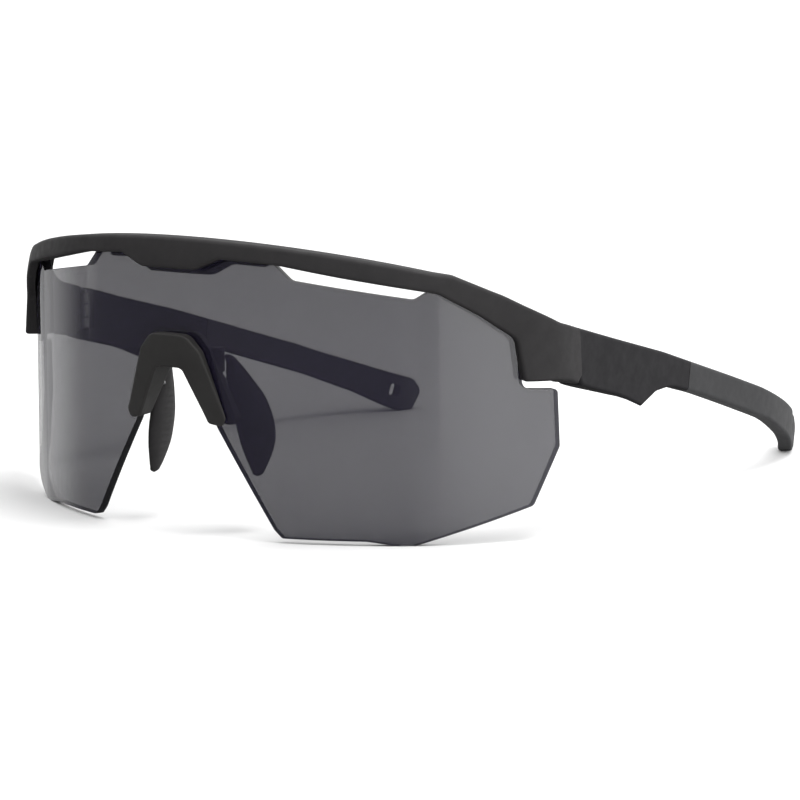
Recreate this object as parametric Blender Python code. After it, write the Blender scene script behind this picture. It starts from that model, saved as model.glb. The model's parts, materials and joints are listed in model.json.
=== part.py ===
"""Wraparound sport sunglasses: half-rim brow, one-piece shield lens, adjustable nose pads, folding temples.

Standalone Blender script. +Z is up, +X is the wearer's left and the front looks along -Y. The glasses stand
open on the lens's lower edge and on the temple tips, and the origin is the bottom centre of their box.
Design sizes are in millimetres, and MM turns them into Blender's metres.
"""

import math

import bmesh
import bpy
import numpy as np
from mathutils import Matrix, Vector

# ---------------------------------------------------------------- driving dimensions, millimetres
MM = 0.001
GAP = 0.3  # between pieces that touch
FRONT_Y = -84.1  # the lens's foremost line

LENS_RADIUS = 79.5  # outer face, about a vertical axis
LENS_THICK = 2.0

BROW_TOP = 62.1
BROW_ARCH_RADIUS = 259.0  # of the brow's upper edge, laid flat
BROW_FRONT = 2.5  # brow face, proud of the lens
BROW_BACK = -3.5
BROW_LEAN = 1.2  # how far the face leans back at its upper edge
CORNER_LEAN = 0.07  # lean of the face at the corners, per millimetre above CORNER_LEAN_Z
CORNER_LEAN_Z = 40.0
LIP_RELIEF = 1.5  # how much shorter the lip behind the lens is
CORNER_ANGLE = math.radians(54.0)  # where the brow leaves the lens's cylinder
CORNER_RADIUS = 15.5
SIDE_ANGLE = math.radians(92.0)  # heading of the end piece
HINGE_SEAM_Y = FRONT_Y + 47.0

HINGE_X = 65.2
HINGE_Y = HINGE_SEAM_Y + 2.3
KNUCKLE_RADIUS = 1.55
BORE_CLEARANCE = 0.12  # round the screw
KNUCKLES = ((33.4, 35.6), (35.9, 38.7), (39.0, 41.2))  # frame, temple, frame
SCREW_RADIUS = 0.6
SCREW_HEAD_RADIUS = 1.3
SCREW_HEAD_TOP = 42.1
SCREW_DRIVE = (0.4, 0.35)  # slot width and depth
TANG_Z = (34.2, 40.4)
TANG_X = (64.6, 65.8)
FRAME_TANG_START = HINGE_SEAM_Y - 4.5
TEMPLE_TANG_END = HINGE_Y + 8.0

TEMPLE_END_Y = FRONT_Y + 171.5
SLEEVE_Y = FRONT_Y + 95.0
TONGUE_END_Y = FRONT_Y + 150.0
TONGUE_THICK = 1.6
PLATE_THICK = 4.0  # of the flat temple, before its inner face is tapered
TONGUE_DEPTH = -1.9  # its middle, inside the temple's outer face
TONGUE_HEIGHT = 4.0
TONGUE_LIFT = 54.1  # height that its middle line would have at the lens
TEMPLE_LIFT = 57.8  # and the temple's upper edge
TEMPLE_FALL = 0.284  # drop per millimetre of length
STRAP_SLOT = (3.0, 3.2)
STRAP_SLOT_AT = (FRONT_Y + 163.9, 5.5)  # y, z
SPUR_Y = FRONT_Y + 74.0
SPUR_RELIEF = 1.3  # how much shorter the spur is on the temple's inner face

PAD_STUB = (7.6, 4.9)  # wire stub's axis, from the middle of the lens's foremost line
PAD_STUB_Z = (33.2, 38.4)
WIRE_RADIUS = 0.5
WIRE_CLEARANCE = 0.2
BOSS_WALL = 1.0  # round the stub
FAR = 100.0  # longer than any piece, for cutters


# ---------------------------------------------------------------- scene, collections and materials
def clear_scene():
    for obj in list(bpy.data.objects):
        bpy.data.objects.remove(obj, do_unlink=True)


def new_collection(name):
    collection = bpy.data.collections.new(name)
    bpy.context.scene.collection.children.link(collection)
    return collection


def new_material(name, colour, roughness, metallic=0.0, transmission=0.0):
    material = bpy.data.materials.new(name)
    material.use_nodes = True
    shader = material.node_tree.nodes["Principled BSDF"]
    shader.inputs["Base Color"].default_value = (*colour, 1.0)
    shader.inputs["Roughness"].default_value = roughness
    shader.inputs["Metallic"].default_value = metallic
    shader.inputs["Transmission Weight"].default_value = transmission
    return material


# ---------------------------------------------------------------- plan curves
def lens_point(s, depth):
    """Plan position at arc length s along the lens, depth in front of its outer face."""
    angle = s / LENS_RADIUS
    radius = LENS_RADIUS + depth
    return Vector((radius * math.sin(angle), FRONT_Y + LENS_RADIUS - radius * math.cos(angle)))


def brow_point(s, depth):
    """As lens_point, but the curve turns back in a tight corner and runs straight to the hinge."""
    side = math.copysign(1.0, s)
    corner_start = CORNER_ANGLE * LENS_RADIUS
    past = max(abs(s) - corner_start, 0.0)
    if past == 0.0:
        return lens_point(s, depth)
    turn = min(past / CORNER_RADIUS, SIDE_ANGLE - CORNER_ANGLE)
    heading = CORNER_ANGLE + turn
    straight = past - turn * CORNER_RADIUS
    inset = LENS_RADIUS - CORNER_RADIUS
    centre_x = inset * math.sin(CORNER_ANGLE)
    centre_y = FRONT_Y + LENS_RADIUS - inset * math.cos(CORNER_ANGLE)
    radius = CORNER_RADIUS + depth
    x = centre_x + radius * math.sin(heading) + straight * math.cos(heading)
    y = centre_y - radius * math.cos(heading) + straight * math.sin(heading)
    return Vector((side * x, y))


def side_length(y):
    """Arc length at which the brow's curve, on the end piece's straight, reaches y."""
    turn = SIDE_ANGLE - CORNER_ANGLE
    corner_end = CORNER_ANGLE * LENS_RADIUS + turn * CORNER_RADIUS
    return corner_end + (y - brow_point(corner_end, BROW_FRONT).y) / math.sin(SIDE_ANGLE)


# The temple's outer face seen from above: y behind the lens's foremost line, x
TEMPLE_PLAN = ((47.0, 69.3), (95.0, 68.4), (124.0, 67.6), (139.0, 66.3), (152.0, 63.2), (159.0, 60.8),
               (166.5, 57.2), (172.0, 55.2))
# Its thickness: y, thickness
TEMPLE_THICKNESS = ((47.0, 6.0), (51.5, 6.0), (63.0, 4.2), (95.0, 3.8), (172.0, 3.4))


def smooth_curve(stations, at):
    """Value and slope at `at` of the Catmull-Rom curve through (position, value) stations."""
    where, value = np.array(stations, float).T
    slope = np.gradient(value, where)
    i = int(np.clip(np.searchsorted(where, at) - 1, 0, len(where) - 2))
    span = where[i + 1] - where[i]
    t = (at - where[i]) / span
    result = (
        (2 * t**3 - 3 * t**2 + 1) * value[i]
        + (t**3 - 2 * t**2 + t) * span * slope[i]
        + (3 * t**2 - 2 * t**3) * value[i + 1]
        + (t**3 - t**2) * span * slope[i + 1]
    )
    rate = (
        (6 * t**2 - 6 * t) * (value[i] - value[i + 1]) / span
        + (3 * t**2 - 4 * t + 1) * slope[i]
        + (3 * t**2 - 2 * t) * slope[i + 1]
    )
    return float(result), float(rate)


def temple_point(y, depth):
    """Plan position on the left temple, depth outside its outer face."""
    x, rate = smooth_curve(TEMPLE_PLAN, y - FRONT_Y)
    outward = Vector((1.0, -rate)).normalized()
    return Vector((x, y)) + depth * outward


def tapered_point(y, depth):
    """As temple_point, for a plate PLATE_THICK thick: its inner half moves to give the temple's thickness."""
    if depth < -PLATE_THICK / 2:
        where, value = np.array(TEMPLE_THICKNESS).T
        depth += PLATE_THICK - float(np.interp(y - FRONT_Y, where, value))
    return temple_point(y, depth)


# ---------------------------------------------------------------- outlines
def rounded(corners, step=math.radians(24.0)):
    """Closed outline through (u, v, radius) corners, each turned into an arc of its radius."""
    outline = []
    for i, (u, v, radius) in enumerate(corners):
        here = Vector((u, v))
        before = Vector(corners[i - 1][:2]) - here
        after = Vector(corners[(i + 1) % len(corners)][:2]) - here
        inside = before.angle(after)
        turn = math.pi - inside
        if radius == 0.0 or turn < math.radians(1.0):
            outline.append(here)
            continue
        reach = min(radius * math.tan(turn / 2), 0.49 * before.length, 0.49 * after.length)
        radius = reach / math.tan(turn / 2)
        start = here + before.normalized() * reach
        middle = (before.normalized() + after.normalized()).normalized()
        centre = here + middle * radius / math.sin(inside / 2)
        spoke = start - centre
        sense = math.copysign(1.0, before.cross(after))
        count = max(1, math.ceil(turn / step))
        for k in range(count + 1):
            outline.append(centre + Matrix.Rotation(-sense * turn * k / count, 2) @ spoke)
    return outline


def both_sides(half):
    """A half outline from the middle line out and back, completed by its mirror image."""
    return half + [(-u, v, radius) for u, v, radius in reversed(half) if u > 0.0]


def grown(outline, distance):
    """The outline moved outwards by a distance, corners mitred."""
    area = sum(a.cross(b) for a, b in zip(outline, outline[1:] + outline[:1]))
    sense = math.copysign(1.0, area)
    result = []
    for i, here in enumerate(outline):
        before = (here - outline[i - 1]).normalized()
        after = (outline[(i + 1) % len(outline)] - here).normalized()
        normal = Vector((before.y + after.y, -before.x - after.x)) * sense
        normal.normalize()
        cosine = max(normal.dot(Vector((before.y, -before.x)) * sense), 0.4)
        result.append(here + normal * distance / cosine)
    return result


def clamped(value):
    return min(max(value, 0.0), 1.0)


def frange(start, stop, step):
    count = max(1, round((stop - start) / step))
    return [start + (stop - start) * k / count for k in range(count + 1)]


# ---------------------------------------------------------------- meshes
def link(obj, collection, material=None):
    collection.objects.link(obj)
    if material:
        obj.data.materials.clear()
        obj.data.materials.append(material)
    return obj


def object_from(bm, name, collection, material=None):
    bmesh.ops.recalc_face_normals(bm, faces=bm.faces)
    if bm.calc_volume(signed=True) < 0.0:
        bmesh.ops.reverse_faces(bm, faces=bm.faces)
    mesh = bpy.data.meshes.new(name)
    bm.to_mesh(mesh)
    bm.free()
    mesh.shade_smooth()
    mesh.set_sharp_from_angle(angle=math.radians(35.0))
    return link(bpy.data.objects.new(name, mesh), collection, material)


def mesh_of_curve(curve, weld):
    """Welded bmesh of a curve datablock, which is then removed."""
    holder = bpy.data.objects.new(curve.name, curve)
    bpy.context.scene.collection.objects.link(holder)
    graph = bpy.context.evaluated_depsgraph_get()
    mesh = bpy.data.meshes.new_from_object(holder.evaluated_get(graph))
    bm = bmesh.new()
    bm.from_mesh(mesh)
    bmesh.ops.remove_doubles(bm, verts=bm.verts, dist=weld)
    bpy.data.objects.remove(holder)
    bpy.data.curves.remove(curve)
    bpy.data.meshes.remove(mesh)
    return bm


def plate(outline, low, high, bevel=0.0, segments=2):
    """Flat plate: the outline lies in XY and its thickness runs from low to high in Z, edges bevelled."""
    curve = bpy.data.curves.new("plate", "CURVE")
    curve.dimensions = "2D"
    curve.fill_mode = "BOTH"
    curve.extrude = (high - low) / 2
    spline = curve.splines.new("POLY")
    spline.points.add(len(outline) - 1)
    for point, corner in zip(spline.points, outline):
        point.co = (corner.x, corner.y, 0.0, 1.0)
    spline.use_cyclic_u = True
    bm = mesh_of_curve(curve, 1e-4)
    bmesh.ops.translate(bm, verts=bm.verts, vec=(0.0, 0.0, (high + low) / 2))
    flat = [edge for edge in bm.edges if edge.calc_face_angle(0.0) < 0.01]
    bmesh.ops.dissolve_edges(bm, edges=flat)
    if bevel:
        rims = [edge for edge in bm.edges if abs(edge.verts[0].co.z - edge.verts[1].co.z) < 1e-4]
        bmesh.ops.bevel(bm, geom=rims, offset=bevel, segments=segments, profile=0.6, affect="EDGES",
                        clamp_overlap=True)
    return bm


def slice_plate(bm, positions, axis=0):
    """Cuts every face at the given positions along X (0) or Y (1), so that the plate can bend there."""
    normal = Vector((0.0, 0.0, 0.0))
    normal[axis] = 1.0
    for position in positions:
        everything = bm.verts[:] + bm.edges[:] + bm.faces[:]
        bmesh.ops.bisect_plane(bm, geom=everything, dist=1e-5, plane_co=normal * position, plane_no=normal)


def bend(bm, place):
    """Moves each vertex from the flat (u, v, depth) to the world: place(u, depth) in plan, v upwards."""
    bmesh.ops.triangulate(bm, faces=bm.faces)
    for vert in bm.verts:
        u, v, depth = vert.co
        plan = place(u, depth)
        vert.co = Vector((plan.x, plan.y, v)) * MM


def box(low, high, name, collection, material=None):
    low = Vector(low)
    high = Vector(high)
    bm = bmesh.new()
    bmesh.ops.create_cube(bm, size=1.0)
    bmesh.ops.scale(bm, vec=(high - low) * MM, verts=bm.verts)
    bmesh.ops.translate(bm, vec=(low + high) / 2 * MM, verts=bm.verts)
    return object_from(bm, name, collection, material)


def cylinder(centre, radius, low, high, name, collection, material=None, sides=24):
    """Upright cylinder."""
    bm = bmesh.new()
    bmesh.ops.create_cone(bm, cap_ends=True, segments=sides, radius1=radius * MM, radius2=radius * MM,
                          depth=(high - low) * MM)
    middle = Vector((centre[0], centre[1], (low + high) / 2)) * MM
    bmesh.ops.translate(bm, vec=middle, verts=bm.verts)
    return object_from(bm, name, collection, material)


def tube(points, radius, name, collection, material=None):
    """Wire through the given points, in millimetres."""
    curve = bpy.data.curves.new(name, "CURVE")
    curve.dimensions = "3D"
    curve.bevel_depth = radius * MM
    curve.bevel_resolution = 2
    curve.use_fill_caps = True
    spline = curve.splines.new("POLY")
    spline.points.add(len(points) - 1)
    for point, place in zip(spline.points, points):
        point.co = (*(Vector(place) * MM), 1.0)
    return object_from(mesh_of_curve(curve, 1e-7), name, collection, material)


def combine(obj, other, operation):
    modifier = obj.modifiers.new(operation.lower(), "BOOLEAN")
    modifier.operation = operation
    modifier.object = other
    modifier.solver = "EXACT"


def cut(obj, *cutters):
    for cutter in cutters:
        combine(obj, cutter, "DIFFERENCE")


def join(obj, *others):
    """Union with helper shapes, which then count as helpers only."""
    for other in others:
        combine(obj, other, "UNION")


def settle(obj):
    """Applies the object's modifiers, so that it can be mirrored."""
    graph = bpy.context.evaluated_depsgraph_get()
    mesh = bpy.data.meshes.new_from_object(obj.evaluated_get(graph))
    obj.modifiers.clear()
    obj.data = mesh


def mirrored(obj, name, collection):
    """The right-hand copy of a left-hand piece."""
    settle(obj)
    bm = bmesh.new()
    bm.from_mesh(obj.data)
    bmesh.ops.scale(bm, vec=(-1.0, 1.0, 1.0), verts=bm.verts)
    bmesh.ops.reverse_faces(bm, faces=bm.faces)
    mesh = bpy.data.meshes.new(name)
    bm.to_mesh(mesh)
    bm.free()
    return link(bpy.data.objects.new(name, mesh), collection, obj.data.materials[0])


# ---------------------------------------------------------------- lens
LENS_TOP = 58.6
LENS_HALF = [
    (0.0, LENS_TOP, 0.0),
    (22.2, LENS_TOP, 0.8),
    (27.1, 54.1, 2.0),  # vent cut-out
    (52.3, 50.5, 1.8),
    (57.2, 53.4, 0.8),
    (66.5, 49.0, 3.0),
    (74.3, 44.2, 1.5),
    (75.0, 31.8, 1.8),  # step under the end piece
    (83.0, 31.3, 0.9),
    (83.6, 19.4, 1.5),
    (77.7, 7.4, 1.5),
    (52.6, 0.0, 0.8),  # land that the glasses stand on
    (49.4, 0.0, 0.8),
    (42.6, 0.9, 3.0),
    (25.0, 1.0, 1.2),
    (23.3, 2.7, 1.2),
    (10.5, 23.3, 2.0),  # nose notch
    (8.0, 30.4, 8.0),
    (5.0, 38.2, 1.8),
    (0.0, 38.2, 0.0),
]


def make_lens(parts, cutters, material):
    """The shield, and the pocket that it fills in the pieces that hold it."""
    outline = rounded(both_sides(LENS_HALF))
    edge = LENS_HALF[9][0]
    slices = frange(-edge, edge, 4.6)[1:-1]
    bm = plate(outline, -LENS_THICK, 0.0)
    slice_plate(bm, slices)
    bend(bm, lens_point)
    object_from(bm, "lens_shield", parts, material)
    pocket_bm = plate(grown(outline, GAP), -LENS_THICK - GAP, GAP)
    slice_plate(pocket_bm, slices)
    bend(pocket_bm, lens_point)
    return object_from(pocket_bm, "lens_pocket", cutters)


# ---------------------------------------------------------------- brow
BROW_LOWER_EDGE = [  # from the end piece's lower front corner to the middle
    (74.4, 33.6, 0.8),
    (72.9, 42.3, 2.5),
    (65.1, 47.4, 8.0),
    (56.8, 51.9, 4.0),
    (37.6, 55.1, 30.0),
    (24.6, 57.4, 20.0),
    (12.4, 58.1, 2.0),
    (6.6, 55.7, 3.0),
    (0.0, 55.7, 0.0),
]
BRIDGE_LIP_HALF = [  # lip behind the lens between the two vents
    (0.0, 60.0, 0.0),
    (20.8, 59.8, 0.8),
    (21.6, 56.5, 0.8),
    (13.2, 56.9, 3.0),
    (8.3, 54.4, 2.0),
    (0.0, 54.4, 0.0),
]


def brow_arch(s):
    return BROW_TOP - s**2 / (2 * BROW_ARCH_RADIUS)


def brow_outline():
    arch = [(s, brow_arch(s), 0.0) for s in frange(0.0, 56.0, 8.0)]
    end = side_length(HINGE_SEAM_Y)
    side = [
        (60.4, 55.3, 3.0),
        (70.5, 51.2, 12.0),
        (83.0, 45.0, 8.0),
        (end, 43.2, 0.0),
        (end, 33.0, 0.0),
        (end - 1.7, 31.7, 0.8),
        (end - 5.0, 32.8, 3.0),
        (81.0, 33.3, 3.0),
    ]
    return rounded(both_sides(arch + side + BROW_LOWER_EDGE))


def lip_relief_outline():
    """What the lip behind the lens loses, so that it can't be seen through the lens from the side."""
    below = [(0.0, 25.0, 0.0), (74.4, 25.0, 0.0)]
    outline = rounded(both_sides(list(reversed(BROW_LOWER_EDGE)) + list(reversed(below))))
    return grown(outline, LIP_RELIEF)


def lean_back(bm):
    """Leans the brow's face back towards its upper edge, and the whole face at the corners."""
    depth_of_lean = 6.0
    for vert in bm.verts:
        s, z, depth = vert.co
        fade = clamped((80.0 - abs(s)) / 20.0)
        corner = clamped((abs(s) - 58.0) / 16.0) * clamped((98.0 - abs(s)) / 10.0)
        share = clamped((z - brow_arch(s)) / depth_of_lean + 1.0)
        if depth > 0.0:
            vert.co.z -= BROW_LEAN * share * fade + CORNER_LEAN * (z - CORNER_LEAN_Z) * corner


def make_brow(parts, cutters, material, lens_pocket):
    bm = plate(brow_outline(), BROW_BACK, BROW_FRONT, bevel=0.7)
    corner = CORNER_ANGLE * LENS_RADIUS
    slices = frange(0.0, corner, 5.0)[1:] + frange(corner, corner + 10.3, 2.6)[1:]
    slices = [0.0] + slices + [-s for s in slices]
    slice_plate(bm, slices)
    lean_back(bm)
    bend(bm, brow_point)
    brow = object_from(bm, "brow_frame", parts, material)
    relief = plate(lip_relief_outline(), BROW_BACK - 2.0, -LENS_THICK / 2)
    slice_plate(relief, slices)
    bend(relief, brow_point)
    cut(brow, object_from(relief, "lip_relief", cutters))
    lip = plate(rounded(both_sides(BRIDGE_LIP_HALF)), BROW_BACK - GAP, -LENS_THICK / 4, bevel=0.3)
    slice_plate(lip, frange(-18.9, 18.9, 3.78))
    bend(lip, brow_point)
    join(brow, object_from(lip, "bridge_lip", cutters))
    cut(brow, lens_pocket)
    for side in (1, -1):
        reach = (FRAME_TANG_START, HINGE_SEAM_Y + 1.5)
        cut(brow, tang("frame_leaf_pocket", cutters, reach, TANG_Z, side, GAP))
    settle(brow)


# ---------------------------------------------------------------- hinge
def tang(name, collection, reach, height, side=1, margin=0.0, material=None):
    """Flat anchor of a hinge leaf, or with a margin the pocket that it sits in. reach is its span in y."""
    across = sorted((side * (TANG_X[0] - margin), side * (TANG_X[1] + margin)))
    low = (across[0], reach[0] - margin, height[0] - margin)
    high = (across[1], reach[1] + margin, height[1] + margin)
    return box(low, high, name, collection, material)


def make_hinge(parts, cutters, steel, screw_steel):
    """Left hinge: two frame knuckles, one temple knuckle between them, and the screw that is their pin."""
    axis = (HINGE_X, HINGE_Y)
    lower, middle, upper = KNUCKLES
    neck = 0.4  # how far short of the axis each tang ends
    frame_leaf = tang("frame_leaf_left", parts, (FRAME_TANG_START, HINGE_Y - neck), TANG_Z, material=steel)
    room_low = (HINGE_X - 4.0, HINGE_SEAM_Y - GAP, middle[0] - GAP)
    room_high = (HINGE_X + 4.0, HINGE_Y + 4.0, middle[1] + GAP)
    cut(frame_leaf, box(room_low, room_high, "middle_knuckle_room", cutters))
    for low, high in (lower, upper):
        join(frame_leaf, cylinder(axis, KNUCKLE_RADIUS, low, high, "frame_knuckle", cutters))
    temple_leaf = tang("temple_leaf_left", parts, (HINGE_Y + neck, TEMPLE_TANG_END), middle, material=steel)
    join(temple_leaf, cylinder(axis, KNUCKLE_RADIUS, *middle, "temple_knuckle", cutters))
    bore = cylinder(axis, SCREW_RADIUS + BORE_CLEARANCE, lower[0] - 3.0, upper[1] + 3.0, "screw_bore",
                    cutters)
    cut(frame_leaf, bore)
    cut(temple_leaf, bore)
    screw = cylinder(axis, SCREW_RADIUS, lower[0] + 0.2, SCREW_HEAD_TOP - 0.2, "hinge_screw_left", parts,
                     screw_steel)
    head_low = upper[1] + 0.15
    join(screw, cylinder(axis, SCREW_HEAD_RADIUS, head_low, SCREW_HEAD_TOP, "screw_head", cutters))
    width, depth = SCREW_DRIVE
    slot_low = (HINGE_X - width / 2, HINGE_Y - 3.0, SCREW_HEAD_TOP - depth)
    slot_high = (HINGE_X + width / 2, HINGE_Y + 3.0, SCREW_HEAD_TOP + 3.0)
    cut(screw, box(slot_low, slot_high, "screw_slot", cutters))
    return [frame_leaf, temple_leaf, screw]


# ---------------------------------------------------------------- temples
def top_line(y, lift=TEMPLE_LIFT):
    return lift - TEMPLE_FALL * (y - FRONT_Y)


def temple_outline():
    """Whole temple in side view: y, z, corner radius."""
    seam = HINGE_SEAM_Y + GAP
    y = FRONT_Y
    corners = [
        (seam, 43.15, 0.0),
        (y + 62.0, 39.4, 30.0),
        (y + 84.0, top_line(y + 84.0), 60.0),
        (y + 132.0, top_line(y + 132.0), 60.0),
        (y + 150.6, 14.4, 40.0),
        (y + 161.0, 10.9, 10.0),
        (y + 169.0, 8.1, 2.4),
        (y + 171.5, 4.8, 2.4),
        (y + 168.6, 0.0, 1.2),  # the tip's land
        (y + 164.8, 0.0, 1.2),
        (y + 152.7, 5.9, 25.0),
        (y + 137.0, 11.9, 60.0),
        (y + 99.9, 22.8, 60.0),
        (y + 87.0, 26.0, 12.0),
        (y + 80.6, 25.7, 4.0),
        (y + 74.0, 23.3, 0.9),  # spur
        (y + 65.3, 26.6, 30.0),
        (y + 52.5, 29.8, 6.0),
        (seam + 1.2, 30.9, 1.0),
        (seam, 32.7, 0.0),
    ]
    return rounded(corners)


def temple_solid(outline, depths, bevel, place, name, collection, material=None):
    """Plate in side view, bent along the temple's plan."""
    bm = plate(outline, *depths, bevel=bevel)
    for vert in bm.verts:
        y, z, depth = vert.co
        near_spur = clamped(1.0 - abs(y - SPUR_Y) / 9.0) * clamped((30.0 - z) / 4.0)
        vert.co.y += SPUR_RELIEF * near_spur * clamped(-depth / 2.0 - 0.3)
    start = HINGE_SEAM_Y
    slices = frange(start, start + 16.0, 5.4)[1:] + frange(start + 16.0, start + 78.0, 12.0)[1:]
    slices += frange(start + 78.0, TEMPLE_END_Y, 3.4)[1:-1]
    slice_plate(bm, slices)
    bend(bm, place)
    return object_from(bm, name, collection, material)


def tongue_outline(margin):
    """The arm's tongue inside the sleeve, in side view."""
    start = SLEEVE_Y - 4.0
    end = TONGUE_END_Y + margin
    half = TONGUE_HEIGHT / 2 + margin
    run = ((start, TONGUE_LIFT, 0.0), (end - 10.0, TONGUE_LIFT, 0.0), (end, TONGUE_LIFT - 0.9, 1.2))
    above = [(y, top_line(y, lift) + half, radius) for y, lift, radius in run]
    below = [(y, top_line(y, lift) - half, radius) for y, lift, radius in reversed(run)]
    return rounded(above + below)


def make_temple(parts, cutters, plastic, rubber):
    """Left arm and sleeve."""
    outline = temple_outline()
    depths = (-PLATE_THICK, 0.0)
    arm = temple_solid(outline, depths, 0.7, tapered_point, "temple_arm_left", parts, plastic)
    sleeve = temple_solid(outline, depths, 0.7, tapered_point, "temple_sleeve_left", parts, rubber)
    cut(sleeve, box((0, SLEEVE_Y - FAR, -FAR), (FAR, SLEEVE_Y + GAP / 2, FAR), "arm_half", cutters))
    cut(arm, box((0, SLEEVE_Y - GAP / 2, -FAR), (FAR, SLEEVE_Y + FAR, FAR), "sleeve_half", cutters))
    low = TONGUE_DEPTH - TONGUE_THICK / 2
    high = TONGUE_DEPTH + TONGUE_THICK / 2
    join(arm, temple_solid(tongue_outline(0.0), (low, high), 0.3, temple_point, "tongue", cutters))
    cut(sleeve, temple_solid(tongue_outline(GAP), (low - GAP, high + GAP), 0.0, temple_point, "tongue_pocket",
                             cutters))
    cut(sleeve, strap_slot(cutters))
    room = KNUCKLE_RADIUS + GAP
    room_low = (HINGE_X - 8.0, HINGE_SEAM_Y - 4.0, KNUCKLES[0][0] - GAP)
    room_high = (HINGE_X + room, HINGE_Y + room, FAR)
    cut(arm, box(room_low, room_high, "knuckle_room", cutters))
    cut(arm, tang("temple_leaf_pocket", cutters, (HINGE_Y, TEMPLE_TANG_END), KNUCKLES[1], margin=GAP))
    cut(arm, corner_room(cutters))
    return [arm, sleeve]


def strap_slot(collection):
    """Rounded slot through the tip, square to its outer face."""
    half_width, half_height = (size / 2 for size in STRAP_SLOT)
    y, z = STRAP_SLOT_AT
    x, rate = smooth_curve(TEMPLE_PLAN, y - FRONT_Y)
    quarter = [(half_width, -half_height), (half_width, half_height)]
    corners = [(u, v, 0.6) for u, v in [(-u, -v) for u, v in quarter] + quarter]
    bm = plate(rounded(corners), -8.0, 8.0)
    upright = Matrix.Rotation(math.radians(90.0), 4, "Y") @ Matrix.Rotation(math.radians(90.0), 4, "Z")
    tilt = Matrix.Rotation(-math.atan(TEMPLE_FALL), 4, "X")
    turn = Matrix.Rotation(math.atan(-rate), 4, "Z")
    place = Matrix.Translation(Vector((x, y, z)) * MM)
    bmesh.ops.scale(bm, vec=(MM, MM, MM), verts=bm.verts)
    bmesh.ops.transform(bm, matrix=place @ turn @ tilt @ upright, verts=bm.verts)
    return object_from(bm, "strap_slot", collection)


def corner_room(collection):
    """What the arm's inner front corner must lose to swing clear of the end piece: all outside a round."""
    radius = HINGE_Y - HINGE_SEAM_Y - GAP
    count = 8
    arc = [(-radius * math.cos(a), -radius * math.sin(a)) for a in np.linspace(0.0, math.pi / 2, count + 1)]
    outline = [Vector((HINGE_X + u, HINGE_Y + v)) for u, v in arc]
    outline += [Vector((HINGE_X, HINGE_Y - 6.0)), Vector((HINGE_X - 8.0, HINGE_Y - 6.0))]
    outline += [Vector((HINGE_X - 8.0, HINGE_Y))]
    bm = plate(outline, 20.0, 50.0)
    bmesh.ops.scale(bm, vec=(MM, MM, MM), verts=bm.verts)
    return object_from(bm, "corner_room", collection)


# ---------------------------------------------------------------- nose clip, pads and wires
CLIP_HALF = [
    (0.0, 42.3, 0.0),
    (4.4, 42.2, 3.5),
    (7.6, 38.8, 2.5),
    (12.9, 25.2, 1.3),
    (12.0, 23.4, 1.2),
    (8.9, 24.0, 1.0),
    (3.2, 35.2, 1.8),
    (0.0, 35.2, 0.0),
]
CLIP_BACK = -4.2
CLIP_FRONT = 1.6
CLIP_FLARE = 1.5  # how much further apart the legs are at the back, at their feet


def clip_lean(z):
    """How far the clip's face stands further forward than at its feet."""
    return 0.8 * clamped((z - 26.0) / 14.0)


def make_clip(parts, cutters, material, lens_pocket):
    bm = plate(rounded(both_sides(CLIP_HALF)), CLIP_BACK, CLIP_FRONT, bevel=0.6)
    slice_plate(bm, frange(-12.0, 12.0, 3.0))
    slice_plate(bm, frange(26.0, 40.0, 4.7), axis=1)
    for vert in bm.verts:
        s, z, depth = vert.co
        if depth > 0.0:
            vert.co.z += clip_lean(z)
        else:
            vert.co.x += math.copysign(CLIP_FLARE, s) * clamped((38.0 - z) / 14.0) * depth / CLIP_BACK
    bend(bm, lens_point)
    clip = object_from(bm, "nose_clip", parts, material)
    cut(clip, lens_pocket)
    x, y = PAD_STUB
    bottom, top = PAD_STUB_Z
    for side in (1, -1):
        stub = (side * x, FRONT_Y + y)
        join(clip, cylinder(stub, WIRE_RADIUS + BOSS_WALL, bottom + 1.0, top + 0.8, "clip_boss", cutters))
        cut(clip, cylinder(stub, WIRE_RADIUS + WIRE_CLEARANCE, bottom - 4.0, top + 0.2, "stub_bore", cutters,
                           sides=16))
    settle(clip)


# Pad's middle line and size: x, y, z, half width, half thickness, from its root to its tip
PAD_STATIONS = [
    (8.1, 7.9, 36.2, 0.9, 0.7),
    (8.6, 8.5, 35.0, 1.4, 1.0),
    (9.4, 9.2, 33.0, 2.2, 1.25),
    (10.3, 10.1, 30.5, 3.1, 1.45),
    (11.2, 10.8, 27.5, 4.2, 1.6),
    (11.9, 11.2, 24.0, 4.95, 1.7),
    (12.6, 11.5, 20.5, 5.0, 1.7),
    (13.1, 11.5, 17.0, 4.3, 1.55),
    (13.4, 11.1, 14.2, 2.9, 1.3),
    (13.6, 10.7, 12.3, 1.7, 1.0),
    (13.7, 10.4, 11.1, 0.8, 0.6),
]
PAD_PLAN_ANGLE = math.radians(78.0)  # heading of the pad's width, from +X
PAD_LIFT = {"left": 1.0, "right": -0.8}  # the wires are bent to different heights

# Wire's middle line: x, y, z
WIRE_STUB = [(*PAD_STUB, PAD_STUB_Z[1]), (*PAD_STUB, PAD_STUB_Z[0]), (7.6, 5.3, 32.2)]
WIRE_ARM = [(8.3, 6.7, 31.4), (9.3, 8.4, 30.6), (10.4, 9.9, 29.2), (11.4, 10.9, 26.2), (12.1, 11.3, 22.8)]


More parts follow.
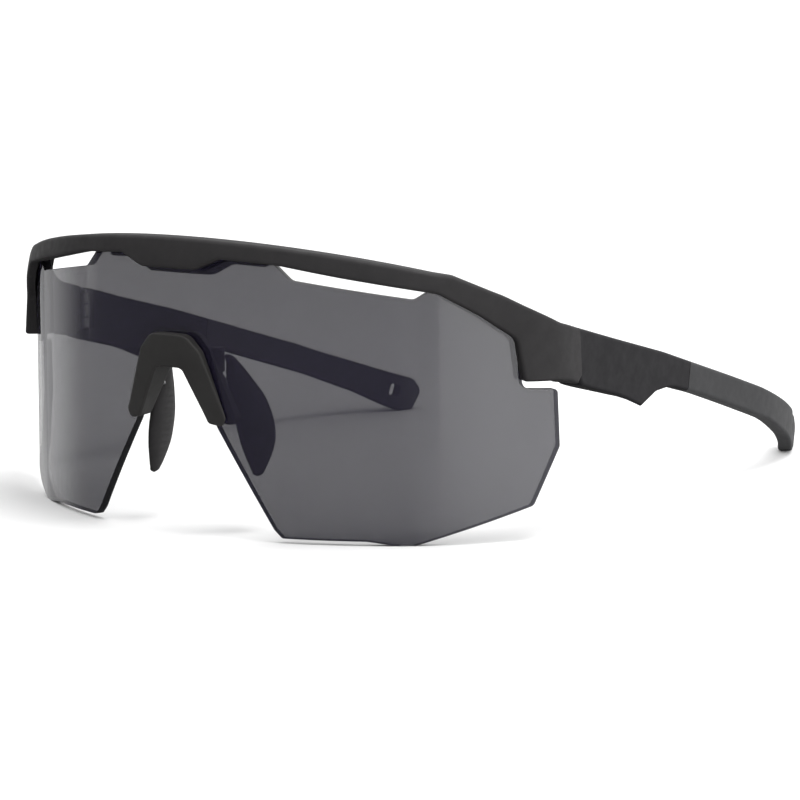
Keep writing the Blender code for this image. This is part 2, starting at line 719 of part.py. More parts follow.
def pad_loft(sign, lift):
    """Loft through the pad's stations, each an ellipse."""
    wide = Vector((math.cos(PAD_PLAN_ANGLE), math.sin(PAD_PLAN_ANGLE), 0.0))
    deep = Vector((wide.y, -wide.x, 0.0))
    sides = 16
    bm = bmesh.new()
    rings = []
    for x, y, z, half_width, half_thickness in PAD_STATIONS:
        centre = Vector((x, FRONT_Y + y, z + lift))
        ring = []
        for k in range(sides):
            angle = 2 * math.pi * k / sides
            place = centre + wide * half_width * math.cos(angle) + deep * half_thickness * math.sin(angle)
            ring.append(bm.verts.new(Vector((sign * place.x, place.y, place.z)) * MM))
        rings.append(ring)
    for upper, lower in zip(rings, rings[1:]):
        for k in range(sides):
            after = (k + 1) % sides
            bm.faces.new((upper[k], upper[after], lower[after], lower[k]))
    bm.faces.new(rings[0])
    bm.faces.new(reversed(rings[-1]))
    return bm


def make_pad(side, parts, cutters, rubber, steel):
    """Pad and the wire that it hangs on."""
    sign = 1.0 if side == "left" else -1.0
    lift = PAD_LIFT[side]
    pad = object_from(pad_loft(sign, lift), f"nose_pad_{side}", parts, rubber)
    route = WIRE_STUB + [(x, y, z + lift) for x, y, z in WIRE_ARM]
    route = [Vector((sign * x, FRONT_Y + y, z)) for x, y, z in route]
    wire = tube(route, WIRE_RADIUS, f"pad_wire_{side}", parts, steel)
    last = route[-1] + (route[-1] - route[-2]).normalized() * WIRE_CLEARANCE
    cut(pad, tube(route[2:-1] + [last], WIRE_RADIUS + WIRE_CLEARANCE, "wire_hole", cutters))
    return [pad, wire]


# ---------------------------------------------------------------- assembly
def hang(pieces, name, place, collection):
    """Parents pieces, already in place, to an empty on their joint's axis."""
    pivot = bpy.data.objects.new(name, None)
    pivot.empty_display_size = 0.01
    pivot.location = Vector(place) * MM
    collection.objects.link(pivot)
    bpy.context.view_layer.update()
    for piece in pieces:
        piece.parent = pivot
        piece.matrix_parent_inverse = pivot.matrix_world.inverted()


def right_hand(pieces, collection):
    return [mirrored(piece, piece.name.replace("left", "right"), collection) for piece in pieces]


def main():
    clear_scene()
    parts = new_collection("wraparound_sport_sunglasses")
    cutters = new_collection("cutters")

    frame_plastic = new_material("frame_plastic", (0.030, 0.028, 0.030), 0.55)
    temple_plastic = new_material("temple_plastic", (0.034, 0.033, 0.036), 0.55)
    clip_plastic = new_material("clip_plastic", (0.028, 0.027, 0.028), 0.5)
    lens_tint = new_material("lens_tint", (0.12, 0.12, 0.14), 0.03, transmission=0.9)
    sleeve_rubber = new_material("sleeve_rubber", (0.065, 0.065, 0.070), 0.75)
    pad_rubber = new_material("pad_rubber", (0.030, 0.029, 0.030), 0.8)
    hinge_steel = new_material("hinge_steel", (0.45, 0.45, 0.46), 0.35, metallic=1.0)
    screw_steel = new_material("screw_steel", (0.55, 0.55, 0.56), 0.25, metallic=1.0)
    wire_steel = new_material("wire_steel", (0.50, 0.50, 0.50), 0.3, metallic=1.0)

    lens_pocket = make_lens(parts, cutters, lens_tint)
    make_brow(parts, cutters, frame_plastic, lens_pocket)
    make_clip(parts, cutters, clip_plastic, lens_pocket)

    frame_leaf, temple_leaf, screw = make_hinge(parts, cutters, hinge_steel, screw_steel)
    arm_pieces = make_temple(parts, cutters, temple_plastic, sleeve_rubber) + [temple_leaf]
    left_pad = make_pad("left", parts, cutters, pad_rubber, wire_steel)
    right_pad = make_pad("right", parts, cutters, pad_rubber, wire_steel)
    right_hand([frame_leaf, screw], parts)
    right_arm = right_hand(arm_pieces, parts)

    hinge_z = sum(KNUCKLES[1]) / 2
    stub_z = sum(PAD_STUB_Z) / 2
    hang(arm_pieces, "temple_left_axis", (HINGE_X, HINGE_Y, hinge_z), parts)
    hang(right_arm, "temple_right_axis", (-HINGE_X, HINGE_Y, hinge_z), parts)
    hang(left_pad, "pad_left_axis", (PAD_STUB[0], FRONT_Y + PAD_STUB[1], stub_z), parts)
    hang(right_pad, "pad_right_axis", (-PAD_STUB[0], FRONT_Y + PAD_STUB[1], stub_z), parts)

    for helper in cutters.objects:
        helper.hide_render = True
        helper.display_type = "WIRE"


main()
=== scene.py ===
"""Looks of the wraparound sport sunglasses: fine meshes and materials around the CAD, in a pale studio."""

import json
import math

import bmesh
import bpy
import numpy as np
from mathutils import Matrix, Vector


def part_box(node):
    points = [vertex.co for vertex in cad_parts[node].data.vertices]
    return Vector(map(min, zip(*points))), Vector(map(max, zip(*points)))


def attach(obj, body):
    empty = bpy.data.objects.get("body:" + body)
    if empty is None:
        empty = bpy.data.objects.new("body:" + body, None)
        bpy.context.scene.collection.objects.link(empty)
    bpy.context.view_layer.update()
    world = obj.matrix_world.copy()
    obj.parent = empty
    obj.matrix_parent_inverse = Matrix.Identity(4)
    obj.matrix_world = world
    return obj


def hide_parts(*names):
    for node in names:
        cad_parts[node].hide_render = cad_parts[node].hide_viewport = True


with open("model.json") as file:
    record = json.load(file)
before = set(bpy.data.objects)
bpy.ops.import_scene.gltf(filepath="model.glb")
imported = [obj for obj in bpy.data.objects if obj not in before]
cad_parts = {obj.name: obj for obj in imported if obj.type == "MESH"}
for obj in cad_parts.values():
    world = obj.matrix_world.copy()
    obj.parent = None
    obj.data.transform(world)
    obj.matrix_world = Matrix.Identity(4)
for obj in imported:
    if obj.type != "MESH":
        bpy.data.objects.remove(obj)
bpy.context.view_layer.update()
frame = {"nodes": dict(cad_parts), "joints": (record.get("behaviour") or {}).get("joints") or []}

# ---------------------------------------------------------------- driving dimensions, millimetres
MM = 0.001
GAP = 0.3
HAIR = 0.01  # keeps a test or a cut clear of a face that lies on the same line
FRONT_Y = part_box("lens_shield")[0].y / MM  # the lens's foremost line
SEAM_Y = FRONT_Y + 47.0  # between the front and the temples
SLEEVE_Y = FRONT_Y + 95.0  # where the rubber starts
TEMPLE_END = 172.0  # behind the lens's foremost line
CAMERA_AZIMUTH = math.radians(34.16)
CAMERA_ELEVATION = math.radians(8.66)
CAMERA_FROM_LENS = Vector((417.5, -532.1, 130.9))  # from the foot of the lens's foremost line

LENS_RADIUS = 79.5
LENS_THICK = 2.0
BROW_TOP = 62.1
BROW_ARCH_RADIUS = 259.0
BROW_FRONT = 2.5
BROW_BACK = -3.5
BROW_LEAN = 1.2
CORNER_LEAN = 0.07  # lean of the face at the corners, per millimetre above CORNER_LEAN_Z
CORNER_LEAN_Z = 40.0
CORNER_ANGLE = math.radians(54.0)
CORNER_RADIUS = 15.5
SIDE_ANGLE = math.radians(92.0)

LEAF_ACROSS = (64.6, 65.8)  # the hinge leaves' faces, x on the left side
FRAME_LEAF_Z = (34.2, 40.4)
KNUCKLE_RADIUS = 1.55
PLATE_THICK = 4.0
TEMPLE_FALL = 0.284
TEMPLE_LIFT = 57.8
SPUR_Y = FRONT_Y + 74.0
SPUR_RELIEF = 1.3  # how much shorter the spur is on the temple's inner face
SLEEVE_SEAM_Z = 26.0  # height at which the seam passes SLEEVE_Y
SLEEVE_SEAM_LEAN = 0.16  # how far the seam moves back per millimetre upwards
STRAP_SLOT = (3.0, 3.2)
STRAP_SLOT_AT = (FRONT_Y + 163.9, 5.5)  # y, z
WIRE_RADIUS = 0.5
PAD_STUB = (7.6, 4.9)
PAD_STUB_Z = (33.2, 38.4)
PAD_LIFT = {"left": 1.0, "right": -0.8}
PAD_HEADING = math.radians(78.0)


# ---------------------------------------------------------------- plan curves
def lens_point(s, depth):
    """Plan position at arc length s along the lens, depth in front of its outer face."""
    angle = s / LENS_RADIUS
    radius = LENS_RADIUS + depth
    return Vector((radius * math.sin(angle), FRONT_Y + LENS_RADIUS - radius * math.cos(angle)))


def brow_point(s, depth):
    """As lens_point, but the curve turns back in a tight corner and runs straight to the hinge."""
    side = math.copysign(1.0, s)
    past = max(abs(s) - CORNER_ANGLE * LENS_RADIUS, 0.0)
    if past == 0.0:
        return lens_point(s, depth)
    turn = min(past / CORNER_RADIUS, SIDE_ANGLE - CORNER_ANGLE)
    heading = CORNER_ANGLE + turn
    straight = past - turn * CORNER_RADIUS
    inset = LENS_RADIUS - CORNER_RADIUS
    radius = CORNER_RADIUS + depth
    x = inset * math.sin(CORNER_ANGLE) + radius * math.sin(heading) + straight * math.cos(heading)
    y = -inset * math.cos(CORNER_ANGLE) - radius * math.cos(heading) + straight * math.sin(heading)
    return Vector((side * x, FRONT_Y + LENS_RADIUS + y))


def side_length(y):
    """Arc length at which the brow's curve, on the end piece's straight, reaches y."""
    corner_end = CORNER_ANGLE * LENS_RADIUS + (SIDE_ANGLE - CORNER_ANGLE) * CORNER_RADIUS
    return corner_end + (y - brow_point(corner_end, BROW_FRONT).y) / math.sin(SIDE_ANGLE)


# The temple's outer face seen from above: y behind the lens's foremost line, x
TEMPLE_PLAN = ((47.0, 69.3), (95.0, 68.4), (124.0, 67.6), (139.0, 66.3), (152.0, 63.2), (159.0, 60.8),
               (166.5, 57.2), (172.0, 55.2))
TEMPLE_THICKNESS = ((47.0, 6.0), (51.5, 6.0), (63.0, 4.2), (95.0, 3.8), (172.0, 3.4))


def smooth_curve(stations, at):
    """Value and slope at `at` of the Catmull-Rom curve through (position, value) stations."""
    where, value = np.array(stations, float).T
    slope = np.gradient(value, where)
    i = int(np.clip(np.searchsorted(where, at) - 1, 0, len(where) - 2))
    span = where[i + 1] - where[i]
    t = (at - where[i]) / span
    result = (
        (2 * t**3 - 3 * t**2 + 1) * value[i]
        + (t**3 - 2 * t**2 + t) * span * slope[i]
        + (3 * t**2 - 2 * t**3) * value[i + 1]
        + (t**3 - t**2) * span * slope[i + 1]
    )
    rate = (
        (6 * t**2 - 6 * t) * (value[i] - value[i + 1]) / span
        + (3 * t**2 - 4 * t + 1) * slope[i]
        + (3 * t**2 - 2 * t) * slope[i + 1]
    )
    return float(result), float(rate)


def temple_point(y, depth):
    """Plan position on the left temple, depth outside its outer face."""
    x, rate = smooth_curve(TEMPLE_PLAN, y - FRONT_Y)
    return Vector((x, y)) + depth * Vector((1.0, -rate)).normalized()


def tapered_point(y, depth):
    """As temple_point, for a plate PLATE_THICK thick: its inner half moves to give the temple's thickness."""
    if depth < -PLATE_THICK / 2:
        where, value = np.array(TEMPLE_THICKNESS).T
        depth += PLATE_THICK - float(np.interp(y - FRONT_Y, where, value))
    return temple_point(y, depth)


# ---------------------------------------------------------------- outlines
def rounded(corners, step=math.radians(7.0)):
    """Closed outline through (u, v, radius) corners, each turned into an arc of its radius."""
    outline = []
    for i, (u, v, radius) in enumerate(corners):
        here = Vector((u, v))
        before = Vector(corners[i - 1][:2]) - here
        after = Vector(corners[(i + 1) % len(corners)][:2]) - here
        inside = before.angle(after)
        turn = math.pi - inside
        if radius == 0.0 or turn < math.radians(1.0):
            outline.append(here)
            continue
        reach = min(radius * math.tan(turn / 2), 0.49 * before.length, 0.49 * after.length)
        radius = reach / math.tan(turn / 2)
        middle = (before.normalized() + after.normalized()).normalized()
        centre = here + middle * radius / math.sin(inside / 2)
        spoke = here + before.normalized() * reach - centre
        sense = math.copysign(1.0, before.cross(after))
        count = max(1, math.ceil(turn / step))
        for k in range(count + 1):
            outline.append(centre + Matrix.Rotation(-sense * turn * k / count, 2) @ spoke)
    return outline


def both_sides(half):
    """A half outline from the middle line out and back, completed by its mirror image."""
    return half + [(-u, v, radius) for u, v, radius in reversed(half) if u > 0.0]


def grown(outline, distance):
    """The outline moved outwards by a distance, corners mitred."""
    area = sum(a.cross(b) for a, b in zip(outline, outline[1:] + outline[:1]))
    sense = math.copysign(1.0, area)
    result = []
    for i, here in enumerate(outline):
        before = (here - outline[i - 1]).normalized()
        after = (outline[(i + 1) % len(outline)] - here).normalized()
        normal = Vector((before.y + after.y, -before.x - after.x)) * sense
        normal.normalize()
        cosine = max(normal.dot(Vector((before.y, -before.x)) * sense), 0.4)
        result.append(here + normal * distance / cosine)
    return result


def clamped(value):
    return min(max(value, 0.0), 1.0)


def frange(start, stop, step):
    count = max(1, round((stop - start) / step))
    return [start + (stop - start) * k / count for k in range(count + 1)]


# ---------------------------------------------------------------- meshes
def link(obj):
    bpy.context.scene.collection.objects.link(obj)
    return obj


def object_from(bm, name, materials=()):
    bmesh.ops.recalc_face_normals(bm, faces=bm.faces)
    if bm.calc_volume(signed=True) < 0.0:
        bmesh.ops.reverse_faces(bm, faces=bm.faces)
    mesh = bpy.data.meshes.new(name)
    bm.to_mesh(mesh)
    bm.free()
    for material in materials:
        mesh.materials.append(material)
    smooth(mesh)
    return link(bpy.data.objects.new(name, mesh))


def smooth(mesh, angle=32.0):
    mesh.shade_smooth()
    mesh.set_sharp_from_angle(angle=math.radians(angle))


def weighted(obj):
    """Shading that follows the large faces, so that rounded edges look crisp."""
    modifier = obj.modifiers.new("weighted_normals", "WEIGHTED_NORMAL")
    modifier.keep_sharp = True
    return obj


def mesh_of_curve(curve, weld):
    """Welded bmesh of a curve datablock, which is then removed."""
    holder = link(bpy.data.objects.new(curve.name, curve))
    graph = bpy.context.evaluated_depsgraph_get()
    mesh = bpy.data.meshes.new_from_object(holder.evaluated_get(graph))
    bm = bmesh.new()
    bm.from_mesh(mesh)
    bmesh.ops.remove_doubles(bm, verts=bm.verts, dist=weld)
    bpy.data.objects.remove(holder)
    bpy.data.curves.remove(curve)
    bpy.data.meshes.remove(mesh)
    return bm


def plate(outline, low, high, bevel=0.0, segments=4, square_from=None):
    """Flat plate in XY from low to high in Z, its rims rounded except where |u| passes square_from."""
    curve = bpy.data.curves.new("plate", "CURVE")
    curve.dimensions = "2D"
    curve.fill_mode = "BOTH"
    curve.extrude = (high - low) / 2
    spline = curve.splines.new("POLY")
    spline.points.add(len(outline) - 1)
    for point, corner in zip(spline.points, outline):
        point.co = (corner.x, corner.y, 0.0, 1.0)
    spline.use_cyclic_u = True
    bm = mesh_of_curve(curve, 1e-4)
    bmesh.ops.translate(bm, verts=bm.verts, vec=(0.0, 0.0, (high + low) / 2))
    flat = [edge for edge in bm.edges if edge.calc_face_angle(0.0) < 0.001]
    bmesh.ops.dissolve_edges(bm, edges=flat)
    if bevel:
        rims = [edge for edge in bm.edges if abs(edge.verts[0].co.z - edge.verts[1].co.z) < 1e-4]
        if square_from:
            rims = [edge for edge in rims if not all(square_from(vert.co) for vert in edge.verts)]
        bmesh.ops.bevel(bm, geom=rims, offset=bevel, segments=segments, profile=0.55, affect="EDGES",
                        clamp_overlap=True)
    return bm


def slice_plate(bm, positions, normal=(1.0, 0.0)):
    """Cuts every face by lines at the given positions along a direction, so that the plate can bend there."""
    direction = Vector((*normal, 0.0)).normalized()
    for position in positions:
        everything = bm.verts[:] + bm.edges[:] + bm.faces[:]
        bmesh.ops.bisect_plane(bm, geom=everything, dist=1e-5, plane_co=direction * position,
                               plane_no=direction)


def bend(bm, place):
    """Moves each vertex from the flat (u, v, depth) to the world: place(u, depth) in plan, v upwards."""
    bmesh.ops.triangulate(bm, faces=bm.faces)
    for vert in bm.verts:
        u, v, depth = vert.co
        plan = place(u, depth)
        vert.co = Vector((plan.x, plan.y, v)) * MM


def box(low, high, name):
    low = Vector(low)
    high = Vector(high)
    bm = bmesh.new()
    bmesh.ops.create_cube(bm, size=1.0)
    bmesh.ops.scale(bm, vec=(high - low) * MM, verts=bm.verts)
    bmesh.ops.translate(bm, vec=(low + high) / 2 * MM, verts=bm.verts)
    return object_from(bm, name)


def cylinder(centre, radius, low, high, name, sides=48):
    """Upright cylinder."""
    bm = bmesh.new()
    bmesh.ops.create_cone(bm, cap_ends=True, segments=sides, radius1=radius * MM, radius2=radius * MM,
                          depth=(high - low) * MM)
    bmesh.ops.translate(bm, vec=Vector((*centre, (low + high) / 2)) * MM, verts=bm.verts)
    return object_from(bm, name)


def combine(obj, other, operation):
    """Joins or cuts with a helper, which is then removed."""
    modifier = obj.modifiers.new(operation.lower(), "BOOLEAN")
    modifier.operation = operation
    modifier.object = other
    modifier.solver = "EXACT"
    graph = bpy.context.evaluated_depsgraph_get()
    mesh = bpy.data.meshes.new_from_object(obj.evaluated_get(graph))
    obj.modifiers.clear()
    obj.data = mesh
    bpy.data.objects.remove(other)
    smooth(mesh)


def cut(obj, *helpers):
    for helper in helpers:
        combine(obj, helper, "DIFFERENCE")


def mirrored(obj, name):
    """The right-hand copy of a left-hand piece."""
    bm = bmesh.new()
    bm.from_mesh(obj.data)
    bmesh.ops.scale(bm, vec=(-1.0, 1.0, 1.0), verts=bm.verts)
    bmesh.ops.reverse_faces(bm, faces=bm.faces)
    mesh = obj.data.copy()
    bm.to_mesh(mesh)
    bm.free()
    return link(bpy.data.objects.new(name, mesh))


def tube(points, radius, name, material):
    """Round wire along a smooth curve through the given points."""
    curve = bpy.data.curves.new(name, "CURVE")
    curve.dimensions = "3D"
    curve.bevel_depth = radius * MM
    curve.bevel_resolution = 8
    curve.use_fill_caps = True
    curve.resolution_u = 10
    spline = curve.splines.new("NURBS")
    spline.points.add(len(points) - 1)
    spline.order_u = 3
    spline.use_endpoint_u = True
    for point, place in zip(spline.points, points):
        point.co = (*(Vector(place) * MM), 1.0)
    return object_from(mesh_of_curve(curve, 1e-7), name, [material])


# ---------------------------------------------------------------- materials
class Nodes:
    """Short hand for building a material's node tree."""

    def __init__(self, name):
        self.material = bpy.data.materials.new(name)
        self.material.use_nodes = True
        self.tree = self.material.node_tree
        self.shader = self.tree.nodes["Principled BSDF"]
        self.place = self.add("ShaderNodeTexCoord").outputs["Object"]

    def add(self, kind, inputs=None, **settings):
        node = self.tree.nodes.new(kind)
        for key, value in settings.items():
            setattr(node, key, value)
        for key, value in (inputs or {}).items():
            if isinstance(value, bpy.types.NodeSocket):
                self.tree.links.new(value, node.inputs[key])
            else:
                node.inputs[key].default_value = value
        return node

    def noise(self, size, detail=3.0, stretch=(1.0, 1.0, 1.0)):
        """Noise whose features are about `size` millimetres across."""
        mapping = self.add("ShaderNodeMapping", {"Vector": self.place, "Scale": stretch})
        inputs = {"Vector": mapping.outputs["Vector"], "Scale": 1.0 / (size * MM)}
        node = self.add("ShaderNodeTexNoise", {**inputs, "Detail": detail, "Roughness": 0.55})
        return node.outputs["Fac"]

    def ranged(self, value, low, high, start=0.3, stop=0.7):
        node = self.add("ShaderNodeMapRange", {"Value": value, "From Min": start, "From Max": stop,
                                               "To Min": low, "To Max": high})
        return node.outputs["Result"]

    def between(self, share, first, second):
        """Colour from first to second."""
        node = self.add("ShaderNodeMix", data_type="RGBA")
        node.inputs["Factor"].default_value = 0.0
        self.tree.links.new(share, node.inputs["Factor"])
        node.inputs[6].default_value = (*first, 1.0)
        node.inputs[7].default_value = (*second, 1.0)
        return node.outputs[2]

    def bump(self, height, strength, distance, normal=None):
        inputs = {"Height": height, "Strength": strength, "Distance": distance * MM}
        if normal is not None:
            inputs["Normal"] = normal
        return self.add("ShaderNodeBump", inputs).outputs["Normal"]

    def join(self, socket, output):
        self.tree.links.new(output, self.shader.inputs[socket])

    def set(self, **values):
        for key, value in values.items():
            self.shader.inputs[key.replace("_", " ")].default_value = value


def scaled(colour, factor):
    return tuple(channel * factor for channel in colour)


def moulded(name, colour, roughness, grain=0.22, relief=0.012, specular=0.35, sheen=0.0):
    """Fine-grained moulded plastic or rubber: cloudy colour, rubbed edges, spark-eroded grain."""
    nodes = Nodes(name)
    cloud = nodes.ranged(nodes.noise(6.0, 4.0), 0.0, 1.0)
    body = nodes.between(cloud, scaled(colour, 0.90), scaled(colour, 1.10))
    geometry = nodes.add("ShaderNodeNewGeometry")
    worn = nodes.ranged(geometry.outputs["Pointiness"], 0.0, 0.55, 0.53, 0.60)
    patches = nodes.ranged(nodes.noise(1.6), 0.2, 1.0)
    rubbed = nodes.add("ShaderNodeMath", {0: worn, 1: patches}, operation="MULTIPLY")
    mix = nodes.add("ShaderNodeMix", {"Factor": rubbed.outputs[0]}, data_type="RGBA")
    nodes.tree.links.new(body, mix.inputs[6])
    mix.inputs[7].default_value = (*scaled(colour, 1.9), 1.0)
    nodes.join("Base Color", mix.outputs[2])
    nodes.join("Roughness", nodes.ranged(nodes.noise(2.5, 5.0), roughness - 0.06, roughness + 0.07))
    fine = nodes.bump(nodes.noise(grain, 2.0), 0.55, relief)
    nodes.join("Normal", nodes.bump(nodes.noise(9.0, 2.0), 0.10, 0.03, fine))
    nodes.set(Specular_IOR_Level=specular, Sheen_Weight=sheen, Sheen_Roughness=0.5)
    return nodes.material


def tinted_lens(name):
    """Polished tinted sheet: light passes both faces unbent, with faint wipe marks in the polish."""
    nodes = Nodes(name)
    smear = nodes.noise(7.0, 4.0, (1.0, 1.0, 0.35))
    nodes.join("Roughness", nodes.ranged(smear, 0.025, 0.075))
    nodes.join("Normal", nodes.bump(nodes.noise(26.0, 1.0), 0.05, 0.02))
    cloud = nodes.ranged(nodes.noise(18.0), 0.0, 1.0)
    nodes.join("Base Color", nodes.between(cloud, (0.0105, 0.0088, 0.0215), (0.0125, 0.0105, 0.0245)))
    nodes.set(Alpha=0.712, IOR=1.78)
    return nodes.material


def ground_edge(name):
    """The lens's cut edge, dark along the sheet."""
    nodes = Nodes(name)
    grit = nodes.ranged(nodes.noise(0.5), 0.0, 1.0)
    nodes.join("Base Color", nodes.between(grit, (0.004, 0.004, 0.005), (0.009, 0.009, 0.011)))
    nodes.join("Roughness", nodes.ranged(nodes.noise(0.35, 3.0, (1.0, 1.0, 0.2)), 0.22, 0.42))
    nodes.set(Specular_IOR_Level=0.25)
    return nodes.material


def steel(name, colour, roughness, stretch):
    """Drawn or stamped steel with fine streaks."""
    nodes = Nodes(name)
    streak = nodes.noise(0.12, 4.0, stretch)
    nodes.join("Base Color", nodes.between(nodes.ranged(streak, 0.0, 1.0), scaled(colour, 0.82), colour))
    nodes.join("Roughness", nodes.ranged(streak, roughness - 0.08, roughness + 0.12))
    nodes.join("Normal", nodes.bump(streak, 0.25, 0.004))
    nodes.set(Metallic=1.0)
    return nodes.material


# ---------------------------------------------------------------- lens
LENS_TOP = 58.6
LENS_HALF = [
    (0.0, LENS_TOP, 0.0),
    (22.2, LENS_TOP, 0.8),
    (27.1, 54.1, 2.0),  # vent cut-out
    (52.3, 50.5, 1.8),
    (57.2, 53.4, 0.8),
    (66.5, 49.0, 3.0),
    (74.3, 44.2, 1.5),
    (75.0, 31.8, 1.8),  # step under the end piece
    (83.0, 31.3, 0.9),
    (83.6, 19.4, 1.5),
    (77.7, 7.4, 1.5),
    (52.6, 0.0, 0.8),
    (49.4, 0.0, 0.8),
    (42.6, 0.9, 3.0),
    (25.0, 1.0, 1.2),
    (23.3, 2.7, 1.2),
    (10.5, 23.3, 2.0),  # nose notch
    (8.0, 30.4, 8.0),
    (5.0, 38.2, 1.8),
    (0.0, 38.2, 0.0),
]
LENS_EDGE = 83.6
LENS_SLICES = frange(-LENS_EDGE, LENS_EDGE, 1.5)[1:-1]


def make_lens(face, edge):
    bm = plate(rounded(both_sides(LENS_HALF)), -LENS_THICK, 0.0, bevel=0.12, segments=2)
    slice_plate(bm, LENS_SLICES)
    bm.normal_update()
    for polygon in bm.faces:
        polygon.material_index = int(abs(polygon.normal.z) < 0.9)
    bend(bm, lens_point)
    return object_from(bm, "shield_lens", [face, edge])


def lens_room():
    """The pocket that the lens fills in the pieces that hold it."""
    outline = grown(rounded(both_sides(LENS_HALF)), GAP)
    bm = plate(outline, -LENS_THICK - GAP, GAP)
    slice_plate(bm, LENS_SLICES)
    bend(bm, lens_point)
    return object_from(bm, "lens_room")


# ---------------------------------------------------------------- brow
BROW_LOWER_EDGE = [
    (74.4, 33.6, 0.8),
    (72.9, 42.3, 2.5),
    (65.1, 47.4, 8.0),
    (56.8, 51.9, 4.0),
    (37.6, 55.1, 30.0),
    (24.6, 57.4, 20.0),
    (12.4, 58.1, 2.0),
    (6.6, 55.7, 3.0),
    (0.0, 55.7, 0.0),
]
BRIDGE_LIP_HALF = [  # lip behind the lens between the two vents
    (0.0, 60.0, 0.0),
    (20.8, 59.8, 0.8),
    (21.6, 56.5, 0.8),
    (13.2, 56.9, 3.0),
    (8.3, 54.4, 2.0),
    (0.0, 54.4, 0.0),
]


def brow_arch(s):
    return BROW_TOP - s**2 / (2 * BROW_ARCH_RADIUS)


def brow_outline():
    arch = [(s, brow_arch(s), 0.0) for s in frange(0.0, 56.0, 2.0)]
    end = side_length(SEAM_Y)
    side = [
        (60.4, 55.3, 3.0),
        (70.5, 51.2, 12.0),
        (83.0, 45.0, 8.0),
        (end, 43.2, 0.0),
        (end, 33.0, 0.0),
        (end - 1.7, 31.7, 0.8),
        (end - 5.0, 32.8, 3.0),
        (81.0, 33.3, 3.0),
    ]
    return rounded(both_sides(arch + side + BROW_LOWER_EDGE))


def shape_brow_face(bm):
    """Leans the face back towards its upper edge, and the whole face at the corners."""
    for vert in bm.verts:
        s, z, depth = vert.co
        fade = clamped((80.0 - abs(s)) / 20.0)
        corner = clamped((abs(s) - 58.0) / 16.0) * clamped((98.0 - abs(s)) / 10.0)
        share = clamped((z - brow_arch(s)) / 6.0 + 1.0)
        if depth > 0.0:
            vert.co.z -= BROW_LEAN * share**1.4 * fade + CORNER_LEAN * (z - CORNER_LEAN_Z) * corner


def make_brow(material):
    end = side_length(SEAM_Y) - HAIR
    bm = plate(brow_outline(), BROW_BACK, BROW_FRONT, bevel=0.75,
               square_from=lambda place: abs(place.x) > end)
    corner = CORNER_ANGLE * LENS_RADIUS
    slices = frange(0.0, corner - 2.0, 1.6)[1:] + frange(corner - 2.0, corner + 11.0, 0.7)[1:]
    slices = [0.0] + slices + [-s for s in slices]
    slice_plate(bm, slices)
    slice_plate(bm, frange(34.0, 60.0, 2.0), (0.0, 1.0))
    shape_brow_face(bm)
    bend(bm, brow_point)
    brow = object_from(bm, "brow_bar", [material])
    below = [(0.0, 25.0, 0.0), (74.4, 25.0, 0.0)]
    relief = grown(rounded(both_sides(list(reversed(BROW_LOWER_EDGE)) + list(reversed(below)))), 1.5)
    bm = plate(relief, BROW_BACK - 2.0, -LENS_THICK / 2)
    slice_plate(bm, slices)
    bend(bm, brow_point)
    cut(brow, object_from(bm, "lip_relief"))
    bm = plate(rounded(both_sides(BRIDGE_LIP_HALF)), BROW_BACK - GAP, -LENS_THICK / 4, bevel=0.3)
    slice_plate(bm, frange(-20.9, 20.9, 1.1))
    bend(bm, brow_point)
    combine(brow, object_from(bm, "bridge_lip"), "UNION")
    cut(brow, lens_room())
    leaf_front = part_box("frame_leaf_left")[0].y / MM
    inner, outer = LEAF_ACROSS
    bottom, top = FRAME_LEAF_Z
    for side in (1, -1):
        low_x, high_x = sorted((side * (inner - GAP), side * (outer + GAP)))
        low = (low_x, leaf_front - GAP, bottom - GAP)
        high = (high_x, SEAM_Y + 2.0, top + GAP)
        cut(brow, box(low, high, "leaf_room"))
    return weighted(brow)


# ---------------------------------------------------------------- temples
def top_line(y):
    """Height of the temple's straight upper edge."""
    return TEMPLE_LIFT - TEMPLE_FALL * (y - FRONT_Y)


def temple_outline():
    """Whole temple in side view: y, z, corner radius."""
    seam = SEAM_Y + GAP
    y = FRONT_Y
    return rounded([
        (seam, 43.15, 0.0),
        (y + 62.0, 39.4, 30.0),
        (y + 84.0, top_line(y + 84.0), 60.0),
        (y + 132.0, top_line(y + 132.0), 60.0),
        (y + 150.6, 14.4, 40.0),
        (y + 161.0, 10.9, 10.0),
        (y + 169.0, 8.1, 2.4),
        (y + 171.5, 4.8, 2.4),
        (y + 168.6, 0.0, 1.2),
        (y + 164.8, 0.0, 1.2),
        (y + 152.7, 5.9, 25.0),
        (y + 137.0, 11.9, 60.0),
        (y + 99.9, 22.8, 60.0),
        (y + 87.0, 26.0, 12.0),
        (y + 80.6, 25.7, 4.0),
        (y + 74.0, 23.3, 0.9),
        (y + 65.3, 26.6, 30.0),
        (y + 52.5, 29.8, 6.0),
        (seam + 1.2, 30.9, 1.0),
        (seam, 32.7, 0.0),
    ])


def temple_solid(name, material, bevel=0.8):
    start = SEAM_Y + GAP + HAIR
    bm = plate(temple_outline(), -PLATE_THICK, 0.0, bevel=bevel, segments=5,
               square_from=lambda place: place.x < start)
    for vert in bm.verts:
        y, z, depth = vert.co
        near_spur = clamped(1.0 - abs(y - SPUR_Y) / 9.0) * clamped((30.0 - z) / 4.0)
        vert.co.y += SPUR_RELIEF * near_spur * clamped(-depth / 2.0 - 0.3)
    bend_start = FRONT_Y + 125.0
    slice_plate(bm, frange(SEAM_Y, bend_start, 2.0)[1:] + frange(bend_start, FRONT_Y + TEMPLE_END, 1.0)[1:-1])
    bend(bm, tapered_point)
    return object_from(bm, name, [material])


